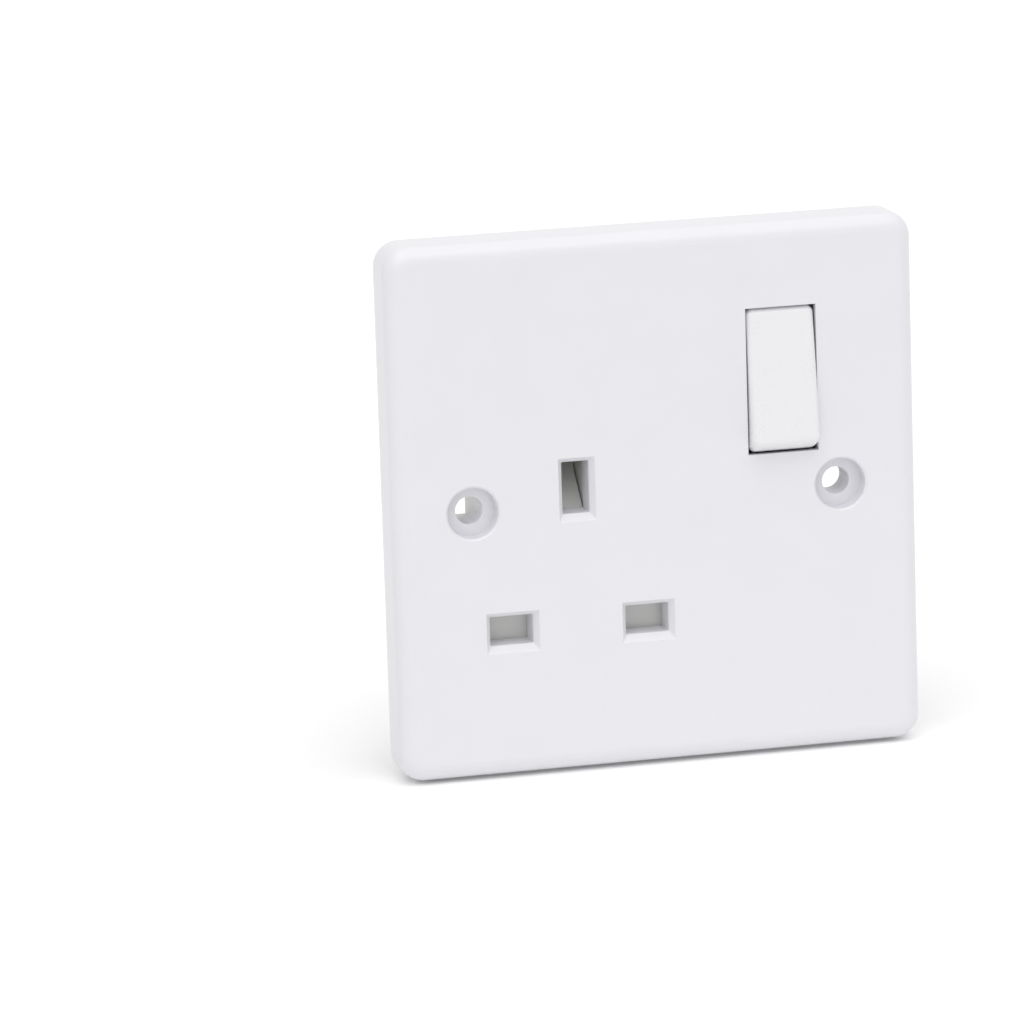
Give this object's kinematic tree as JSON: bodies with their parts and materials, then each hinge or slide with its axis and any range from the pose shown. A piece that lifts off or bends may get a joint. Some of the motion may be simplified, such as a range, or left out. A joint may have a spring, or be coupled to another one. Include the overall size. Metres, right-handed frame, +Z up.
{
  "type": "switched socket outlet",
  "caption": "White square wall plate with a shuttered socket for rectangular pins, a rocker switch at the upper right, recessed fixing holes and a notched rear housing.",
  "frame": {"origin": "midway between the two fixing holes, in the plane where the plate's rim meets the wall", "axes": "+X to the right seen from the front, +Y into the wall along the fixing screws, +Z up"},
  "size_m": [0.086, 0.0311, 0.086],
  "materials": {
    "plate_white": "smooth white moulded plastic with a soft gloss",
    "rocker_white": "smooth white moulded plastic with a soft gloss",
    "housing_white": "matt off-white moulding",
    "guide_grey": "matt natural moulding",
    "shutter_grey": "matt grey-beige moulding",
    "plunger_nylon": "natural nylon",
    "spring_steel": "drawn spring wire",
    "zinc_steel": "zinc-plated screw steel",
    "brass": "bright stamped and machined brass",
    "copper": "bright copper strip",
    "silver": "silver contact face"
  },
  "bodies": {
    "socket": {"front_plate": "plate_white", "rear_housing": "housing_white", "guide_plate": "guide_grey", "shutter_spring": "spring_steel", "fixed_contact": "silver", "live_link": "brass", "neutral_contact": "brass", "earth_contact": "brass", "housing_screws": "zinc_steel", "neutral_terminal": "brass", "earth_terminal": "brass", "live_terminal": "brass"},
    "rocker_key": {"rocker": "rocker_white", "rocker_spring": "spring_steel"},
    "plunger": {"rocker_plunger": "plunger_nylon"},
    "bridge": {"switch_bridge": "copper", "bridge_contact": "silver"},
    "shutter_body": {"shutter": "shutter_grey"},
    "neutral_screw": {"neutral_clamp_screw": "zinc_steel"},
    "earth_screw": {"earth_clamp_screw": "zinc_steel"},
    "live_screw": {"live_clamp_screw": "zinc_steel"}
  },
  "joints": [
    {"name": "rocker_tilt", "type": "hinge", "parent": "socket", "child": "rocker_key", "pos_m": [0.0208, -0.0046, 0.0176], "axis": [1, 0, 0], "range_deg": [0, 16]},
    {"name": "plunger_press", "type": "slide", "parent": "rocker_key", "child": "plunger", "axis": [0, -0.9903, 0.1392], "range_m": [0, 0.0008], "stiffness_N_per_m": 120, "springref_m": -0.002, "deforming": ["rocker_spring"]},
    {"name": "bridge_rock", "type": "hinge", "parent": "socket", "child": "bridge", "pos_m": [0.0208, 0.006, 0.0176], "axis": [1, 0, 0], "range_deg": [-22, 0]},
    {"name": "shutter_slide", "type": "slide", "parent": "socket", "child": "shutter_body", "axis": [0, 0, -1], "range_m": [0, 0.0064], "stiffness_N_per_m": 60, "springref_m": -0.006, "deforming": ["shutter_spring"]},
    {"name": "neutral_clamp", "type": "slide", "parent": "socket", "child": "neutral_screw", "axis": [0, -1, 0], "range_m": [0, 0.0022]},
    {"name": "earth_clamp", "type": "slide", "parent": "socket", "child": "earth_screw", "axis": [0, -1, 0], "range_m": [0, 0.0022]},
    {"name": "live_clamp", "type": "slide", "parent": "socket", "child": "live_screw", "axis": [0, -1, 0], "range_m": [0, 0.0022]}
  ],
  "couplings": [
    {"joint": "bridge_rock", "follows": "rocker_tilt", "ratio": -1.375}
  ]
}
